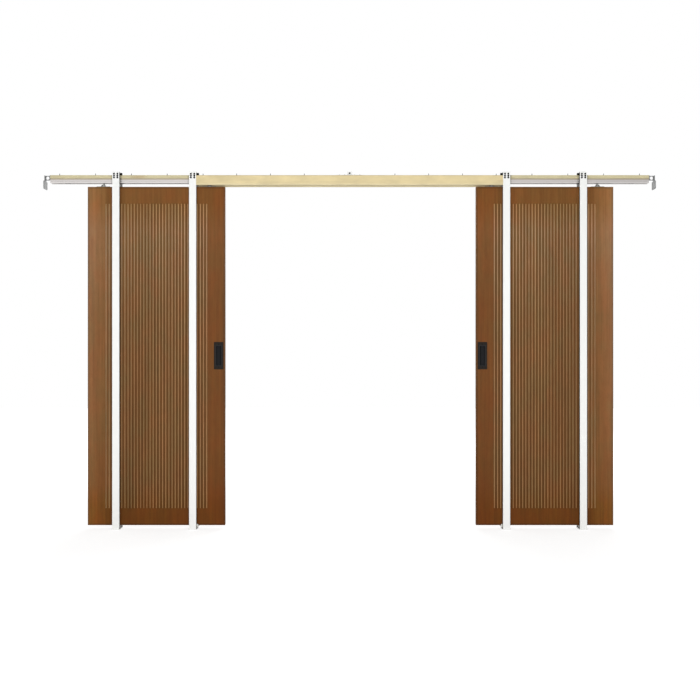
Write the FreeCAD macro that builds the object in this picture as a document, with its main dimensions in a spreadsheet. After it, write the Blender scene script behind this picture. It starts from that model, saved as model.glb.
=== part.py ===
import FreeCAD, Part
import os
import Sketcher

# Pocket door frame for a pair of sliding leaves, in millimetres.
# Z is up, the front is -Y, and the origin is under the left jamb's floor plate, on the floor.

SIZES = [
    # the two leaves
    ("leaf_width", 824, "width of one leaf"),
    ("leaf_height", 2032, "height of one leaf"),
    ("leaf_thickness", 35, "thickness of one leaf"),
    ("leaf_ease", 2, "eased upright edges of a leaf"),
    ("leaf_lift", 22, "floor to the leaf's lower edge"),
    ("rest_opening", 1509, "between the leading edges, as shown"),
    ("rest_shift", 5.5, "both leaves stand this far to the right, as shown"),
    ("open_travel", 160, "further travel into the pocket"),
    ("meeting_gap", 3, "leading edge to the doorway's middle when closed"),
    ("flute_count", 33, "flutes on each face"),
    ("flute_width", 8, "flute at the leaf's face"),
    ("flute_floor", 5, "flat bottom of a flute"),
    ("flute_depth", 3, "depth of a flute"),
    ("flute_side_margin", 109.8, "leaf edge to the middle of the first flute"),
    ("flute_end_margin", 102, "leaf end to the end of the flutes"),
    # flush pulls
    ("pull_width", 57, "plate of the flush pull"),
    ("pull_height", 164, "plate of the flush pull"),
    ("pull_plate", 2.5, "plate in front of the leaf's face"),
    ("pull_corner", 3, "corner radius of the plate"),
    ("pull_bevel", 1, "bevelled front edge of the plate"),
    ("pull_inset", 9, "leading edge to the plate"),
    ("pull_level", 1040, "middle of the pull above the floor"),
    ("recess_width", 32, "finger recess"),
    ("recess_height", 118, "finger recess"),
    ("recess_depth", 10, "finger recess below the leaf's face"),
    ("cup_wall", 1.5, "metal round the finger recess"),
    ("mortise_play", 0.25, "cup in the leaf's mortise"),
    # split studs and the wall that they make
    ("wall_depth", 89, "front of the front stud to the back of the back stud"),
    ("stud_width", 43, "face of a stud"),
    ("stud_depth", 19, "depth of a stud"),
    ("stud_steel", 1.5, "sheet of a stud"),
    ("stud_bend", 2, "outer radius of a stud's bends"),
    ("stud_rise", 19, "stud above the header board"),
    ("jamb_spacing", 1877.5, "between the middles of the jamb studs"),
    ("bay", 459.75, "jamb stud to pocket stud, middle to middle"),
    ("pocket_length", 857.25, "middle of the jamb stud to the end of the header board"),
    # header
    ("board_height", 21, "header board"),
    ("board_ease", 1.5, "eased edges of the header board"),
    ("track_room", 22, "leaf's upper edge to the track"),
    ("track_height", 26, "roller track"),
    ("track_width", 47, "roller track"),
    ("track_wall", 2.5, "roller track"),
    ("track_slot", 18, "slot for the hanger bolts"),
    ("track_groove", 1, "depth of the shallow groove along each side"),
    ("track_lip", 7, "side of the track below the groove"),
    ("track_brow", 3, "side of the track above the groove"),
    ("fascia_height", 57, "fascia over the doorway"),
    ("fascia_inset", 4, "top of the fascia below the top of the board"),
    ("fascia_ease", 2, "eased edges of the fascia"),
    ("joint_length", 160, "plate over the joint of the two boards"),
    ("joint_width", 40, "plate over the joint of the two boards"),
    ("joint_steel", 2, "plate over the joint of the two boards"),
    ("joint_tab_width", 30, "upright tab of that plate"),
    ("joint_tab_height", 25, "upright tab of that plate"),
    # end brackets
    ("bracket_steel", 3, "plate of an end bracket"),
    ("bracket_reach", 38, "end of the board to the outer face of the bracket"),
    ("bracket_drop", 82, "top of the board to the foot of the bracket"),
    ("bracket_plate", 49, "height of the wall plate's wide lower part"),
    ("bracket_width", 72, "wall plate, front to back"),
    ("bracket_neck", 34, "width of the wall plate's upper part"),
    ("bracket_web", 4, "web between the wall plate and the board"),
    ("eye_height", 28, "web and end flange"),
    ("eye_hole", 20, "round hole in the web"),
    ("eye_inset", 3, "round hole to the wall plate"),
    ("bracket_corner", 6, "cut corners of the wall plate"),
    ("bracket_hole", 5.5, "fixing holes in the wall plate"),
    ("bracket_columns", 48, "between the fixing holes, front to back"),
    ("bracket_rows", 25, "between the fixing holes, up and down"),
    # saddles over the header and floor plates
    ("saddle_steel", 2, "sheet of a saddle"),
    ("saddle_leg", 24, "saddle's legs below the top of the board"),
    ("saddle_below_top", 2, "saddle's rim below the top of the studs"),
    ("stud_play", 0.5, "play of what stands inside a stud"),
    ("floor_steel", 3, "floor plate"),
    ("floor_plate_width", 48, "floor plate along the wall"),
    ("floor_plate_depth", 95, "floor plate, front to back"),
    ("floor_corner", 5, "cut corners of the floor plate"),
    ("floor_tab", 2.5, "upright tabs of the floor plate"),
    ("floor_tab_height", 60, "upright tabs of the floor plate"),
    ("floor_hole", 5.5, "floor screw holes"),
    ("floor_hole_spacing", 28, "between the floor screw holes"),
    # guide blocks
    ("guide_width", 36, "guide block along the wall"),
    ("guide_height", 45, "guide block above the floor plate"),
    ("guide_foot", 8, "foot of the guide block"),
    ("guide_wall", 6, "upright of the guide block"),
    ("guide_lead", 3, "sloped top edge"),
    ("guide_wing", 2.5, "thickness of the wing on the doorway side"),
    ("guide_reach", 31, "middle of the guide block to the end of its wing"),
    ("wing_height", 27, "wing above the floor plate"),
    ("guide_clearance", 5, "leaf's face to the guide block"),
    # hangers
    ("hanger_inset", 93, "leaf edge to the hanger bolt"),
    ("hanger_length", 80, "top plate"),
    ("hanger_width", 28, "top plate"),
    ("hanger_steel", 3, "top plate"),
    ("arch_foot", 30, "arch at the plate"),
    ("arch_crown", 18, "flat crown of the arch"),
    ("arch_rise", 10, "arch above the plate"),
    ("arch_strap", 2.5, "strap of the arch"),
    ("arch_depth", 24, "width of the strap"),
    ("bolt_diameter", 8, "hanger bolt"),
    ("bolt_play", 0.25, "bolt in its holes"),
    ("nut_flats", 13, "bolt head and nuts, across flats"),
    ("nut_height", 4, "bolt head and nuts"),
    ("wheel_diameter", 14, "roller"),
    ("wheel_width", 8, "roller"),
    ("wheel_base", 40, "between the axles of a carriage"),
    ("rail_play", 0.3, "roller above the rail"),
    ("carriage_length", 64, "body of a carriage"),
    ("carriage_width", 16, "body of a carriage, between its rollers"),
    ("carriage_height", 9, "body of a carriage"),
    ("carriage_ease", 3, "sloped ends of a carriage"),
    # stops in the track
    ("stop_length", 30, "stop at the pocket's end"),
    ("stop_height", 15, "stops"),
    ("stop_clearance", 5, "carriage to a stop at the end of its travel"),
    ("stop_play", 0.25, "stop in the track"),
]

doc = FreeCAD.newDocument("pocket_door_frame")
sheet = doc.addObject("Spreadsheet::Sheet", "Size")
for row, (alias, value, note) in enumerate(SIZES, start=1):
    sheet.set(f"A{row}", note)
    sheet.set(f"B{row}", str(value))
    sheet.setAlias(f"B{row}", alias)
doc.recompute()

# Levels and places that several pieces share.
MIDDLE = "(Size.jamb_spacing / 2)"
HALF_HEADER = f"({MIDDLE} + Size.pocket_length)"
HALF_WALL = "(Size.wall_depth / 2)"
HALF_POCKET = "(Size.wall_depth / 2 - Size.stud_depth)"
LEAF_TOP = "(Size.leaf_lift + Size.leaf_height)"
TRACK_BOTTOM = f"({LEAF_TOP} + Size.track_room)"
RAIL = f"({TRACK_BOTTOM} + Size.track_wall)"
BOARD_BOTTOM = f"({TRACK_BOTTOM} + Size.track_height)"
BOARD_TOP = f"({BOARD_BOTTOM} + Size.board_height)"
STUD_HEIGHT = f"({BOARD_TOP} + Size.stud_rise - Size.floor_steel)"
INSIDE_STUD = "(Size.stud_width / 2 - Size.stud_steel - Size.stud_play)"
STUD_BACK = f"({HALF_WALL} - Size.stud_steel)"
LEAF_OFFSET = "(Size.rest_opening / 2 + Size.leaf_width / 2)"
HANGER_SPAN = "(Size.leaf_width - 2 * Size.hanger_inset)"
PULL_OFFSET = "(Size.leaf_width / 2 - Size.pull_inset - Size.pull_width / 2)"
CUP_HALF_WIDTH = "(Size.recess_width / 2 + Size.cup_wall)"
CUP_HALF_HEIGHT = "(Size.recess_height / 2 + Size.cup_wall)"
CUP_DEPTH = "(Size.recess_depth + Size.cup_wall)"
AXLE_LEVEL = "(Size.track_room + Size.track_wall + Size.wheel_diameter / 2 + Size.rail_play)"
CARRIAGE_TOP = f"({AXLE_LEVEL} + Size.carriage_height / 2)"
ARCH_TOP = "(Size.hanger_steel + Size.arch_rise)"
TURNED = FreeCAD.Rotation(FreeCAD.Vector(0, 0, 1), 180)
HAIR = 0.001


def new_body(label, x, y, z, turned=False, several=False):
    body = doc.addObject("PartDesign::Body", label)
    body.Label = label
    body.AllowCompound = several
    if turned:
        body.Placement = FreeCAD.Placement(FreeCAD.Vector(), TURNED)
    for axis, place in zip("xyz", (x, y, z)):
        body.setExpression(f"Placement.Base.{axis}", place)
    return body


def origin_feature(body, role):
    return next(item for item in body.Origin.OriginFeatures if item.Role == role)


def new_sketch(body, role, offset="0"):
    # Sketch axes: XY_Plane gives X and Y, XZ_Plane gives X and Z, YZ_Plane gives Y and Z.
    sketch = body.newObject("Sketcher::SketchObject", "outline")
    sketch.AttachmentSupport = [(origin_feature(body, role), "")]
    sketch.MapMode = "FlatFace"
    sketch.setExpression("AttachmentOffset.Base.z", offset)
    return sketch


def hold_point(sketch, geometry, position, place):
    for kind, amount in zip(("DistanceX", "DistanceY"), place):
        value = float(sketch.evalExpression(amount))
        index = sketch.addConstraint(Sketcher.Constraint(kind, -1, 1, geometry, position, value))
        name = f"{kind}_{index}"
        sketch.renameConstraint(index, name)
        sketch.setExpression(f"Constraints.{name}", amount)


def draw_polygon(sketch, corners):
    first = sketch.GeometryCount
    places = []
    for corner in corners:
        across, along = (float(sketch.evalExpression(amount)) for amount in corner)
        places.append(FreeCAD.Vector(across, along, 0))
    count = len(places)
    for number in range(count):
        sketch.addGeometry(Part.LineSegment(places[number], places[(number + 1) % count]))
    for number in range(count):
        following = first + (number + 1) % count
        sketch.addConstraint(Sketcher.Constraint("Coincident", first + number, 2, following, 1))
    for number, corner in enumerate(corners):
        hold_point(sketch, first + number, 1, corner)


def draw_circle(sketch, across, along, diameter):
    middle = FreeCAD.Vector(*(float(sketch.evalExpression(amount)) for amount in (across, along)), 0)
    radius = float(sketch.evalExpression(diameter)) / 2
    circle = sketch.addGeometry(Part.Circle(middle, FreeCAD.Vector(0, 0, 1), radius))
    hold_point(sketch, circle, 3, (across, along))
    index = sketch.addConstraint(Sketcher.Constraint("Diameter", circle, 2 * radius))
    name = f"Diameter_{index}"
    sketch.renameConstraint(index, name)
    sketch.setExpression(f"Constraints.{name}", diameter)


def rectangle(left, right, low, high):
    return [(left, low), (right, low), (right, high), (left, high)]


def centred(width, height):
    return rectangle(f"-({width}) / 2", f"({width}) / 2", f"-({height}) / 2", f"({height}) / 2")


def eased_rectangle(width, low, high, ease):
    half = f"({width}) / 2"
    near = f"({half} - {ease})"
    upper = f"{high} - {ease}"
    lower = f"{low} + {ease}"
    return [(f"-{near}", low), (near, low), (half, lower), (half, upper),
            (near, high), (f"-{near}", high), (f"-{half}", upper), (f"-{half}", lower)]


def hexagon(flats):
    wide = f"{flats} / sqrt(3)"
    near = f"{flats} / (2 * sqrt(3))"
    half = f"{flats} / 2"
    return [(wide, "0"), (near, half), (f"-{near}", half), (f"-{wide}", "0"), (f"-{near}", f"-{half}"),
            (near, f"-{half}")]


def extrude(body, kind, sketch, length, reverse=False, symmetric=False):
    feature = body.newObject(f"PartDesign::{kind}", kind.lower())
    feature.Profile = sketch
    feature.Reversed = reverse
    if symmetric:
        feature.SideType = "Symmetric"
    feature.setExpression("Length", length)
    body.Tip = feature
    return feature


def cut_checked(body, sketch, length, reverse=False, symmetric=False):
    doc.recompute()
    before = body.Shape.Volume
    feature = extrude(body, "Pocket", sketch, length, reverse, symmetric)
    doc.recompute()
    if body.Shape.Volume > before - HAIR:
        raise RuntimeError(f"{body.Label}: the cut removes nothing")
    return feature


def pattern_along_x(body, originals, length, count="2"):
    feature = body.newObject("PartDesign::LinearPattern", "row")
    feature.Originals = originals
    feature.Direction = (origin_feature(body, "X_Axis"), [""])
    feature.setExpression("Length", length)
    feature.setExpression("Occurrences", count)
    body.Tip = feature
    return feature


def is_along(edge, direction):
    straight = isinstance(edge.Curve, Part.Line)
    return straight and edge.tangentAt(edge.FirstParameter).cross(direction).Length < HAIR


def edge_names(shape, wanted):
    return [f"Edge{number}" for number, edge in enumerate(shape.Edges, start=1) if wanted(edge)]


def dress_edges(body, kind, feature, wanted, amount):
    doc.recompute()
    dressed = body.newObject(f"PartDesign::{kind}", kind.lower())
    dressed.Base = (feature, edge_names(feature.Shape, wanted))
    dressed.setExpression("Radius" if kind == "Fillet" else "Size", amount)
    body.Tip = dressed
    return dressed


def header_board(label, x):
    body = new_body(label, x, "0", BOARD_BOTTOM)
    sketch = new_sketch(body, "YZ_Plane")
    draw_polygon(sketch, eased_rectangle(f"2 * {HALF_POCKET}", "0", "Size.board_height", "Size.board_ease"))
    extrude(body, "Pad", sketch, HALF_HEADER)


def joint_plate(label):
    body = new_body(label, MIDDLE, "0", BOARD_TOP)
    sketch = new_sketch(body, "XY_Plane")
    draw_polygon(sketch, centred("Size.joint_length", "Size.joint_width"))
    extrude(body, "Pad", sketch, "Size.joint_steel")
    tab = new_sketch(body, "XZ_Plane")
    half_tab = "Size.joint_tab_width / 2"
    draw_polygon(tab, rectangle(f"-{half_tab}", half_tab, "0", "Size.joint_tab_height"))
    extrude(body, "Pad", tab, "Size.joint_steel", symmetric=True)


def track(label, x):
    body = new_body(label, x, "0", TRACK_BOTTOM)
    half = "Size.track_width / 2"
    inside = "(Size.track_width / 2 - Size.track_wall)"
    slot = "Size.track_slot / 2"
    ceiling = "(Size.track_height - Size.track_wall)"
    floor = "Size.track_wall"
    sketch = new_sketch(body, "YZ_Plane")
    lip = "Size.track_lip"
    brow = "(Size.track_height - Size.track_brow)"
    groove = "(Size.track_width / 2 - Size.track_groove)"
    right_half = [
        (inside, ceiling), (inside, floor), (slot, floor), (slot, "0"), (half, "0"), (half, lip),
        (groove, f"{lip} + Size.track_groove"), (groove, f"{brow} - Size.track_groove"), (half, brow),
        (half, "Size.track_height")]
    left_half = [(f"-{across}", level) for across, level in reversed(right_half)]
    draw_polygon(sketch, right_half + left_half)
    extrude(body, "Pad", sketch, HALF_HEADER)


def fascia(label, turned):
    side = "" if turned else "-"
    middle = f"{side}({HALF_WALL} - Size.stud_depth / 2)"
    low = f"{BOARD_TOP} - Size.fascia_inset - Size.fascia_height"
    body = new_body(label, MIDDLE, middle, low, turned)
    sketch = new_sketch(body, "YZ_Plane")
    draw_polygon(sketch, eased_rectangle("Size.stud_depth", "0", "Size.fascia_height", "Size.fascia_ease"))
    extrude(body, "Pad", sketch, "Size.jamb_spacing - Size.stud_width", symmetric=True)


def end_bracket(label, x, turned):
    # Seen in plan: a flange on the board's end, a web with the eye, and the wall plate.
    body = new_body(label, x, "0", BOARD_TOP, turned)
    outer = "Size.bracket_reach"
    inner = "(Size.bracket_reach - Size.bracket_steel)"
    flange = f"({HALF_POCKET} - Size.board_ease)"
    web = "Size.bracket_web / 2"
    neck = "Size.bracket_neck / 2"
    plan = new_sketch(body, "XY_Plane")
    steel = "Size.bracket_steel"
    draw_polygon(plan, [
        ("0", f"-{flange}"), (steel, f"-{flange}"), (steel, f"-{web}"), (inner, f"-{web}"),
        (inner, f"-{neck}"), (outer, f"-{neck}"), (outer, neck), (inner, neck),
        (inner, web), (steel, web), (steel, flange), ("0", flange)])
    extrude(body, "Pad", plan, "Size.eye_height", reverse=True)
    shoulder = "(Size.bracket_plate - Size.bracket_drop)"
    foot = "-Size.bracket_drop"
    corner = "Size.bracket_corner"
    edge = "(Size.bracket_width / 2)"
    cut_back = f"({edge} - {corner})"
    wall = new_sketch(body, "YZ_Plane", inner)
    back_half = [
        (cut_back, foot), (edge, f"{foot} + {corner}"), (edge, f"{shoulder} - {corner}"),
        (cut_back, shoulder), (neck, shoulder), (neck, "0")]
    front_half = [(f"-({across})", level) for across, level in reversed(back_half)]
    draw_polygon(wall, back_half + front_half)
    extrude(body, "Pad", wall, "Size.bracket_steel")
    eye = new_sketch(body, "XZ_Plane")
    eye_place = f"{inner} - Size.eye_inset - Size.eye_hole / 2"
    draw_circle(eye, eye_place, "-Size.eye_height / 2", "Size.eye_hole")
    cut_checked(body, eye, "2 * Size.bracket_web", symmetric=True)
    holes = new_sketch(body, "YZ_Plane", inner)
    for column in ("-", ""):
        for row in ("-", "+"):
            level = f"-Size.bracket_drop + Size.bracket_plate / 2 {row} Size.bracket_rows / 2"
            draw_circle(holes, f"{column}Size.bracket_columns / 2", level, "Size.bracket_hole")
    cut_checked(body, holes, "Size.bracket_steel", reverse=True)


def stud(label, x, turned):
    # A channel with its face to the room and its open side to the leaf.
    side = "" if turned else "-"
    body = new_body(label, x, f"{side}{HALF_WALL}", "Size.floor_steel", turned)
    half = "Size.stud_width / 2"
    inside = "(Size.stud_width / 2 - Size.stud_steel)"
    sketch = new_sketch(body, "XY_Plane")
    draw_polygon(sketch, [
        (f"-{half}", "0"), (half, "0"), (half, "Size.stud_depth"), (inside, "Size.stud_depth"),
        (inside, "Size.stud_steel"), (f"-{inside}", "Size.stud_steel"), (f"-{inside}", "Size.stud_depth"),
        (f"-{half}", "Size.stud_depth")])
    channel = extrude(body, "Pad", sketch, STUD_HEIGHT)
    upright = FreeCAD.Vector(0, 0, 1)
    dress_edges(body, "Fillet", channel,
                lambda edge: is_along(edge, upright) and abs(edge.CenterOfMass.y) < HAIR, "Size.stud_bend")


def saddle(label, x):
    # An open pan on the header board, with a leg down inside each stud.
    body = new_body(label, x, "0", BOARD_TOP)
    outer = new_sketch(body, "XY_Plane")
    draw_polygon(outer, centred(f"2 * {INSIDE_STUD}", f"2 * {STUD_BACK}"))
    rim = "(Size.stud_rise - Size.saddle_below_top)"
    extrude(body, "Pad", outer, rim)
    inner = new_sketch(body, "XY_Plane", rim)
    inner_back = f"({STUD_BACK} - Size.saddle_steel)"
    draw_polygon(inner, centred(f"2 * ({INSIDE_STUD} - Size.saddle_steel)", f"2 * {inner_back}"))
    cut_checked(body, inner, f"{rim} - Size.saddle_steel")
    legs = new_sketch(body, "XY_Plane")
    draw_polygon(legs, rectangle(f"-{INSIDE_STUD}", INSIDE_STUD, f"-{STUD_BACK}", f"-{inner_back}"))
    draw_polygon(legs, rectangle(f"-{INSIDE_STUD}", INSIDE_STUD, inner_back, STUD_BACK))
    extrude(body, "Pad", legs, "Size.saddle_leg", reverse=True)


def floor_plate(label, x):
    body = new_body(label, x, "0", "0")
    base = new_sketch(body, "XY_Plane")
    half = "Size.floor_plate_depth / 2"
    draw_polygon(base, eased_rectangle("Size.floor_plate_width", f"-{half}", half, "Size.floor_corner"))
    extrude(body, "Pad", base, "Size.floor_steel")
    tabs = new_sketch(body, "XY_Plane", "Size.floor_steel")
    near = f"({STUD_BACK} - Size.floor_tab)"
    draw_polygon(tabs, rectangle(f"-{INSIDE_STUD}", INSIDE_STUD, f"-{STUD_BACK}", f"-{near}"))
    draw_polygon(tabs, rectangle(f"-{INSIDE_STUD}", INSIDE_STUD, near, STUD_BACK))
    extrude(body, "Pad", tabs, "Size.floor_tab_height")
    holes = new_sketch(body, "XY_Plane", "Size.floor_steel")
    for side in ("-", ""):
        draw_circle(holes, "0", f"{side}Size.floor_hole_spacing / 2", "Size.floor_hole")
    cut_checked(body, holes, "Size.floor_steel")


def door_guide(label, x, inward):
    # Two blocks on the floor plate, one on each side of the leaf, each with a wing that passes
    # the stud; inward is the sign of the way to the doorway.
    body = new_body(label, x, "0", "Size.floor_steel", several=True)
    face = "(Size.leaf_thickness / 2 + Size.guide_clearance)"
    back = f"({STUD_BACK} - Size.floor_tab - Size.stud_play)"
    upright = f"({face} + Size.guide_wall)"
    sketch = new_sketch(body, "YZ_Plane")
    draw_polygon(sketch, [
        (face, "0"), (back, "0"), (back, "Size.guide_foot"), (upright, "Size.guide_foot"),
        (upright, "Size.guide_height"), (f"{face} + Size.guide_lead", "Size.guide_height"),
        (face, "Size.guide_height - Size.guide_lead")])
    block = extrude(body, "Pad", sketch, "Size.guide_width", symmetric=True)
    wing_back = f"({face} + Size.guide_wing)"
    wing = new_sketch(body, "YZ_Plane")
    draw_polygon(wing, [
        (face, "Size.guide_foot"), (wing_back, "Size.guide_foot"),
        (wing_back, "Size.wing_height"), (face, "Size.wing_height - Size.guide_wing")])
    strip = extrude(body, "Pad", wing, "Size.guide_reach", reverse=inward == "-")
    twin = body.newObject("PartDesign::Mirrored", "twin")
    twin.Originals = [block, strip]
    twin.MirrorPlane = (origin_feature(body, "XZ_Plane"), [""])
    body.Tip = twin


def track_stop(label, x, length):
    # A block on the rails, with a tongue in the slot.
    body = new_body(label, x, "0", RAIL)
    half = "(Size.track_width / 2 - Size.track_wall - Size.stop_play)"
    tongue = "(Size.track_slot / 2 - Size.stop_play)"
    sketch = new_sketch(body, "YZ_Plane")
    draw_polygon(sketch, [
        (f"-{tongue}", "-Size.track_wall"), (tongue, "-Size.track_wall"), (tongue, "0"), (half, "0"),
        (half, "Size.stop_height"), (f"-{half}", "Size.stop_height"), (f"-{half}", "0"),
        (f"-{tongue}", "0")])
    extrude(body, "Pad", sketch, length, symmetric=True)


def leaf(label, x, lead):
    # lead is the sign of the leading edge's side.
    body = new_body(label, x, "0", "Size.leaf_lift")
    section = new_sketch(body, "XY_Plane")
    face = "Size.leaf_thickness / 2"
    draw_polygon(section, eased_rectangle("Size.leaf_width", f"-{face}", face, "Size.leaf_ease"))
    extrude(body, "Pad", section, "Size.leaf_height")
    flutes = new_sketch(body, "XY_Plane", "Size.leaf_height / 2")
    first = "(Size.flute_side_margin - Size.leaf_width / 2)"
    for side in ("-", ""):
        skin = f"{side}Size.leaf_thickness / 2"
        floor = f"{side}(Size.leaf_thickness / 2 - Size.flute_depth)"
        draw_polygon(flutes, [
            (f"{first} - Size.flute_width / 2", skin), (f"{first} + Size.flute_width / 2", skin),
            (f"{first} + Size.flute_floor / 2", floor), (f"{first} - Size.flute_floor / 2", floor)])
    cut = cut_checked(body, flutes, "Size.leaf_height - 2 * Size.flute_end_margin", symmetric=True)
    pattern_along_x(body, [cut], "Size.leaf_width - 2 * Size.flute_side_margin", "Size.flute_count")
    middle = f"{lead}{PULL_OFFSET}"
    width = f"({CUP_HALF_WIDTH} + Size.mortise_play)"
    height = f"({CUP_HALF_HEIGHT} + Size.mortise_play)"
    level = "(Size.pull_level - Size.leaf_lift)"
    for offset, reverse in (("Size.leaf_thickness / 2", False), ("-Size.leaf_thickness / 2", True)):
        mortise = new_sketch(body, "XZ_Plane", offset)
        draw_polygon(mortise, rectangle(
            f"{middle} - {width}", f"{middle} + {width}", f"{level} - {height}", f"{level} + {height}"))
        cut_checked(body, mortise, CUP_DEPTH, reverse)


def flush_pull(label, x, turned):
    # A plate on the leaf's face with a dished cup behind it.
    side = "" if turned else "-"
    body = new_body(label, x, f"{side}Size.leaf_thickness / 2", "Size.pull_level", turned)
    plate = new_sketch(body, "XZ_Plane")
    draw_polygon(plate, centred("Size.pull_width", "Size.pull_height"))
    slab = extrude(body, "Pad", plate, "Size.pull_plate")
    through = FreeCAD.Vector(0, 1, 0)
    rounded = dress_edges(body, "Fillet", slab, lambda edge: is_along(edge, through), "Size.pull_corner")
    front = -float(plate.evalExpression("Size.pull_plate"))
    dress_edges(body, "Chamfer", rounded,
                lambda edge: abs(edge.BoundBox.YMax - front) < HAIR, "Size.pull_bevel")
    cup = new_sketch(body, "XZ_Plane")
    draw_polygon(cup, centred(f"2 * {CUP_HALF_WIDTH}", f"2 * {CUP_HALF_HEIGHT}"))
    extrude(body, "Pad", cup, CUP_DEPTH, reverse=True)
    recess = new_sketch(body, "XZ_Plane", "Size.pull_plate")
    draw_polygon(recess, centred("Size.recess_width", "Size.recess_height"))
    cut_checked(body, recess, "Size.pull_plate + Size.recess_depth")


def hanger_plates(label, leaf_x):
    # Each plate lies on the leaf's upper edge and carries an arch for the bolt.
    body = new_body(label, f"{leaf_x} - {HANGER_SPAN} / 2", "0", LEAF_TOP, several=True)
    base = new_sketch(body, "XY_Plane")
    draw_polygon(base, centred("Size.hanger_length", "Size.hanger_width"))
    plate = extrude(body, "Pad", base, "Size.hanger_steel")
    lean = "(Size.arch_foot / 2 - Size.arch_crown / 2)"
    shift = f"(Size.arch_strap * sqrt({lean} ^ 2 + Size.arch_rise ^ 2) / Size.arch_rise)"
    foot = "Size.arch_foot / 2"
    crown = "Size.arch_crown / 2"
    inner_foot = f"(Size.arch_foot / 2 - {shift})"
    inner_crown = f"(Size.arch_crown / 2 + {lean} * Size.arch_strap / Size.arch_rise - {shift})"
    under = f"({ARCH_TOP} - Size.arch_strap)"
    strap = new_sketch(body, "XZ_Plane")
    draw_polygon(strap, [
        (f"-{foot}", "Size.hanger_steel"), (f"-{crown}", ARCH_TOP), (crown, ARCH_TOP),
        (foot, "Size.hanger_steel"), (inner_foot, "Size.hanger_steel"), (inner_crown, under),
        (f"-{inner_crown}", under), (f"-{inner_foot}", "Size.hanger_steel")])
    arch = extrude(body, "Pad", strap, "Size.arch_depth", symmetric=True)
    hole = new_sketch(body, "XY_Plane", ARCH_TOP)
    draw_circle(hole, "0", "0", "Size.bolt_diameter + 2 * Size.bolt_play")
    cut = cut_checked(body, hole, "Size.arch_strap")
    pattern_along_x(body, [plate, arch, cut], HANGER_SPAN)


def hanger_bolts(label, leaf_x):
    # The head rests on the carriage, and two nuts clamp the crown of the arch.
    body = new_body(label, f"{leaf_x} - {HANGER_SPAN} / 2", "0", LEAF_TOP, several=True)
    lower_nut = f"({ARCH_TOP} - Size.arch_strap - Size.nut_height)"
    shank = new_sketch(body, "XY_Plane", lower_nut)
    draw_circle(shank, "0", "0", "Size.bolt_diameter")
    pieces = [extrude(body, "Pad", shank, f"{CARRIAGE_TOP} - {lower_nut}")]
    for level in (lower_nut, ARCH_TOP, CARRIAGE_TOP):
        nut = new_sketch(body, "XY_Plane", level)
        draw_polygon(nut, hexagon("Size.nut_flats"))
        pieces.append(extrude(body, "Pad", nut, "Size.nut_height"))
    pattern_along_x(body, pieces, HANGER_SPAN)


def carriages(label, leaf_x):
    # Each carriage has sloped ends and hangs its bolt through the middle.
    body = new_body(label, f"{leaf_x} - {HANGER_SPAN} / 2", "0", LEAF_TOP, several=True)
    low = f"({CARRIAGE_TOP} - Size.carriage_height)"
    side = new_sketch(body, "XZ_Plane")
    draw_polygon(side, eased_rectangle("Size.carriage_length", low, CARRIAGE_TOP, "Size.carriage_ease"))
    block = extrude(body, "Pad", side, "Size.carriage_width", symmetric=True)
    hole = new_sketch(body, "XY_Plane", CARRIAGE_TOP)
    draw_circle(hole, "0", "0", "Size.bolt_diameter + 2 * Size.bolt_play")
    cut = cut_checked(body, hole, "Size.carriage_height")
    pattern_along_x(body, [block, cut], HANGER_SPAN)


def wheels(label, leaf_x):
    # Four rollers on each carriage, against its sides.
    x = f"{leaf_x} - {HANGER_SPAN} / 2 - Size.wheel_base / 2"
    body = new_body(label, x, "0", f"{LEAF_TOP} + {AXLE_LEVEL}", several=True)
    rim = new_sketch(body, "XZ_Plane", "Size.carriage_width / 2")
    draw_circle(rim, "0", "0", "Size.wheel_diameter")
    wheel = extrude(body, "Pad", rim, "Size.wheel_width")
    group = body.newObject("PartDesign::MultiTransform", "all_wheels")
    group.Originals = [wheel]
    steps = []
    for length in ("Size.wheel_base", HANGER_SPAN):
        row = body.newObject("PartDesign::LinearPattern", "row")
        row.Direction = (origin_feature(body, "X_Axis"), [""])
        row.setExpression("Length", length)
        row.Occurrences = 2
        steps.append(row)
    mirror = body.newObject("PartDesign::Mirrored", "other_side")
    mirror.MirrorPlane = (origin_feature(body, "XZ_Plane"), [""])
    group.Transformations = steps + [mirror]
    body.Tip = group


def build_frame():
    header_board("header_board_left", f"{MIDDLE} - {HALF_HEADER}")
    header_board("header_board_right", MIDDLE)
    track("track_left", f"{MIDDLE} - {HALF_HEADER}")
    track("track_right", MIDDLE)
    joint_plate("header_joint_plate")
    fascia("fascia_front", turned=False)
    fascia("fascia_back", turned=True)
    end_bracket("end_bracket_left", f"{MIDDLE} - {HALF_HEADER}", turned=True)
    end_bracket("end_bracket_right", f"{MIDDLE} + {HALF_HEADER}", turned=False)
    posts = [
        ("jamb", "left", "0"), ("jamb", "right", "Size.jamb_spacing"),
        ("pocket", "left", "-Size.bay"), ("pocket", "right", "Size.jamb_spacing + Size.bay")]
    for post, side, x in posts:
        stud(f"{post}_stud_{side}_front", x, turned=False)
        stud(f"{post}_stud_{side}_back", x, turned=True)
        saddle(f"{post}_saddle_{side}", x)
        floor_plate(f"{post}_floor_plate_{side}", x)
        if post == "jamb":
            door_guide(f"door_guide_{side}", x, "" if side == "left" else "-")
    furthest = "(Size.rest_opening / 2 + Size.open_travel + Size.leaf_width - Size.hanger_inset)"
    outer_stop = f"({furthest} + Size.carriage_length / 2 + Size.stop_clearance + Size.stop_length / 2)"
    track_stop("track_stop_left", f"{MIDDLE} - {outer_stop}", "Size.stop_length")
    track_stop("track_stop_right", f"{MIDDLE} + {outer_stop}", "Size.stop_length")
    nearest = "(Size.hanger_inset + Size.meeting_gap - Size.carriage_length / 2 - Size.stop_clearance)"
    track_stop("track_stop_centre", MIDDLE, f"2 * {nearest}")


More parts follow.
